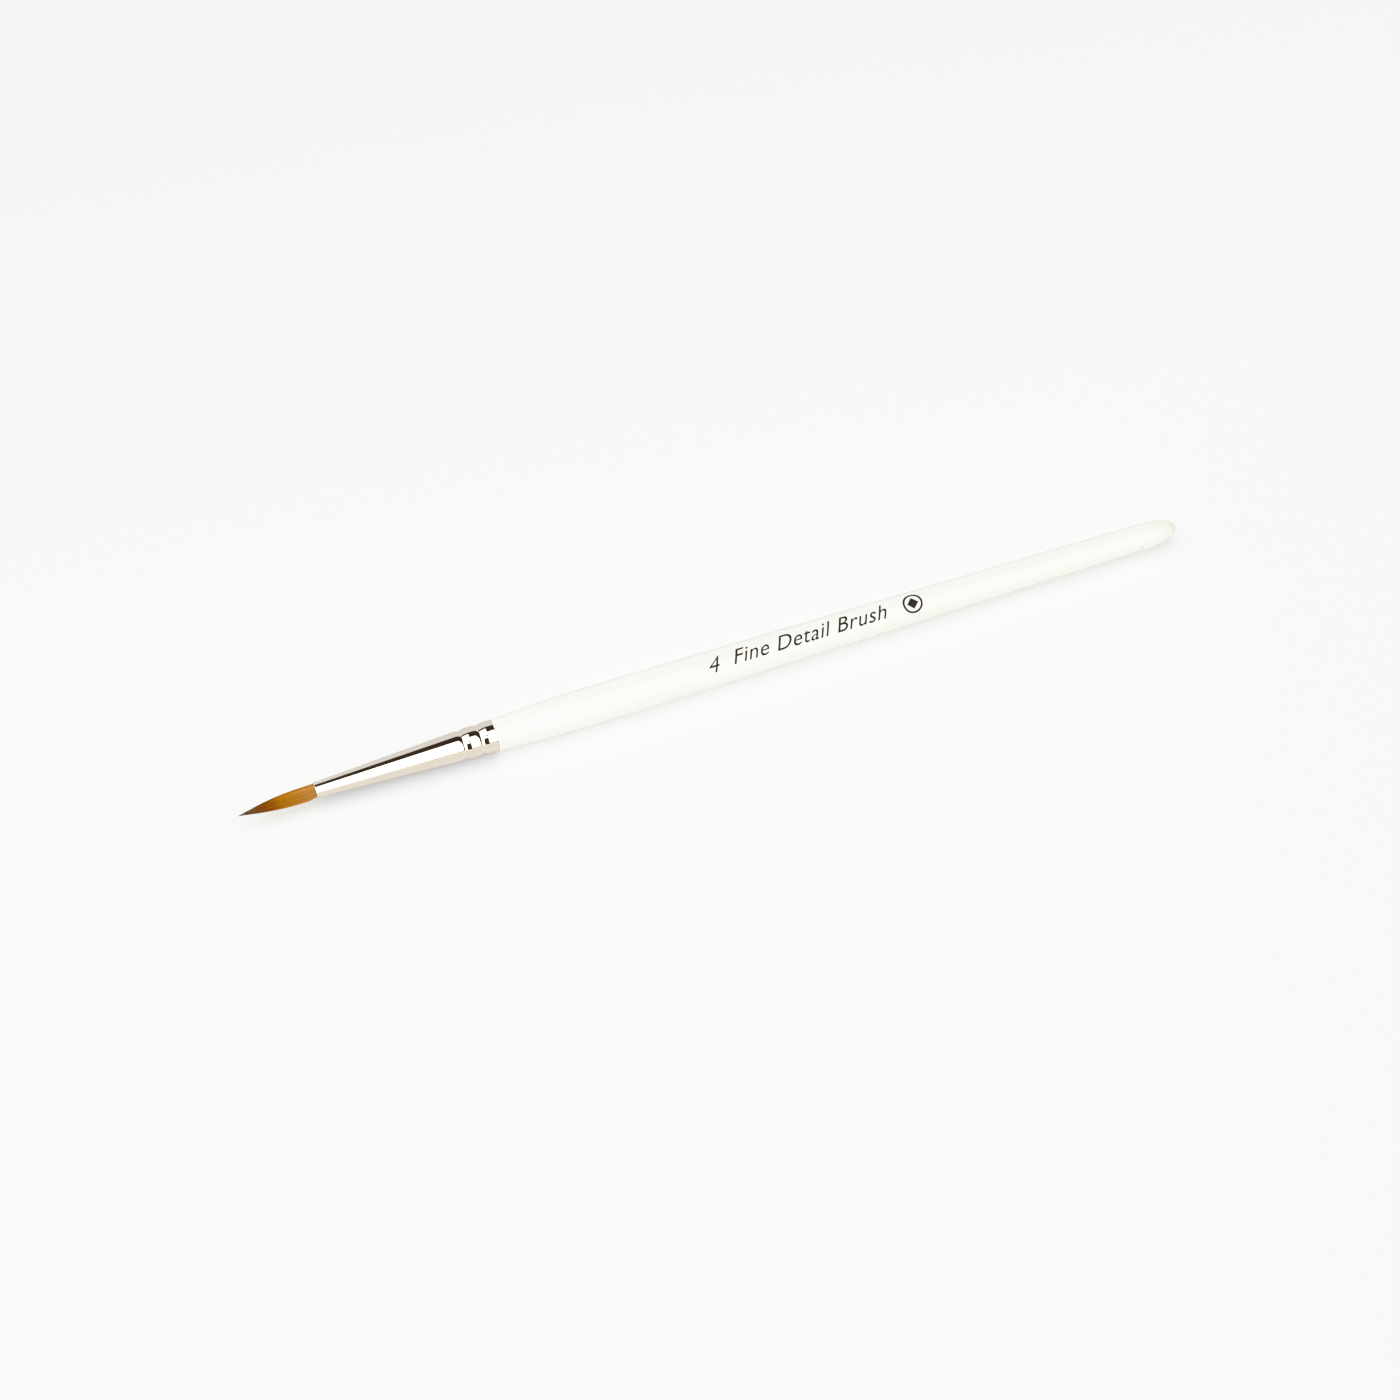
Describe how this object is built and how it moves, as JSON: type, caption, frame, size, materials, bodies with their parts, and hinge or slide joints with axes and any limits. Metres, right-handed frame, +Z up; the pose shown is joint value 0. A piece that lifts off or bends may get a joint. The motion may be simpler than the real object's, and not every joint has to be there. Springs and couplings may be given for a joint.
{
  "type": "fine detail brush",
  "caption": "Pointed round brush for fine detail: natural hair in a crimped conical metal ferrule on a slim turned handle with a gloss white lacquer.",
  "frame": {"origin": "on the table, on the flat facet under the middle of the handle's belly", "axes": "+X along the brush from the hair's point to the handle's tail, +Z up, +Y completes the right-handed frame"},
  "size_m": [0.208, 0.008, 0.0081],
  "materials": {
    "handle_lacquer": "turned hardwood under a gloss ivory-white lacquer",
    "ferrule_plate": "bright nickel plate on drawn brass, mirror polished",
    "adhesive": "set adhesive film",
    "hair_gold": "natural red-gold hair",
    "hair_tip": "natural hair darkening to its point",
    "thread": "twisted linen thread",
    "resin": "set amber resin"
  },
  "bodies": {
    "handle_body": {"handle": "handle_lacquer", "ferrule": "ferrule_plate", "ferrule_adhesive": "adhesive", "hair_root": "hair_gold", "binding_thread": "thread", "root_resin": "resin"},
    "tuft_belly": {"hair_belly": "hair_gold"},
    "tuft_point": {"hair_point": "hair_tip"}
  },
  "joints": [
    {"name": "tuft_sweep", "type": "hinge", "parent": "handle_body", "child": "tuft_belly", "pos_m": [-0.0583, 0, 0.00402], "axis": [0, 0, 1], "range_deg": [-30, 30], "stiffness_Nm_per_rad": 0.0002},
    {"name": "tuft_press", "type": "hinge", "parent": "tuft_belly", "child": "tuft_point", "pos_m": [-0.0639, 0, 0.00402], "axis": [0, 1, 0], "range_deg": [-45, 45], "stiffness_Nm_per_rad": 0.00006}
  ]
}
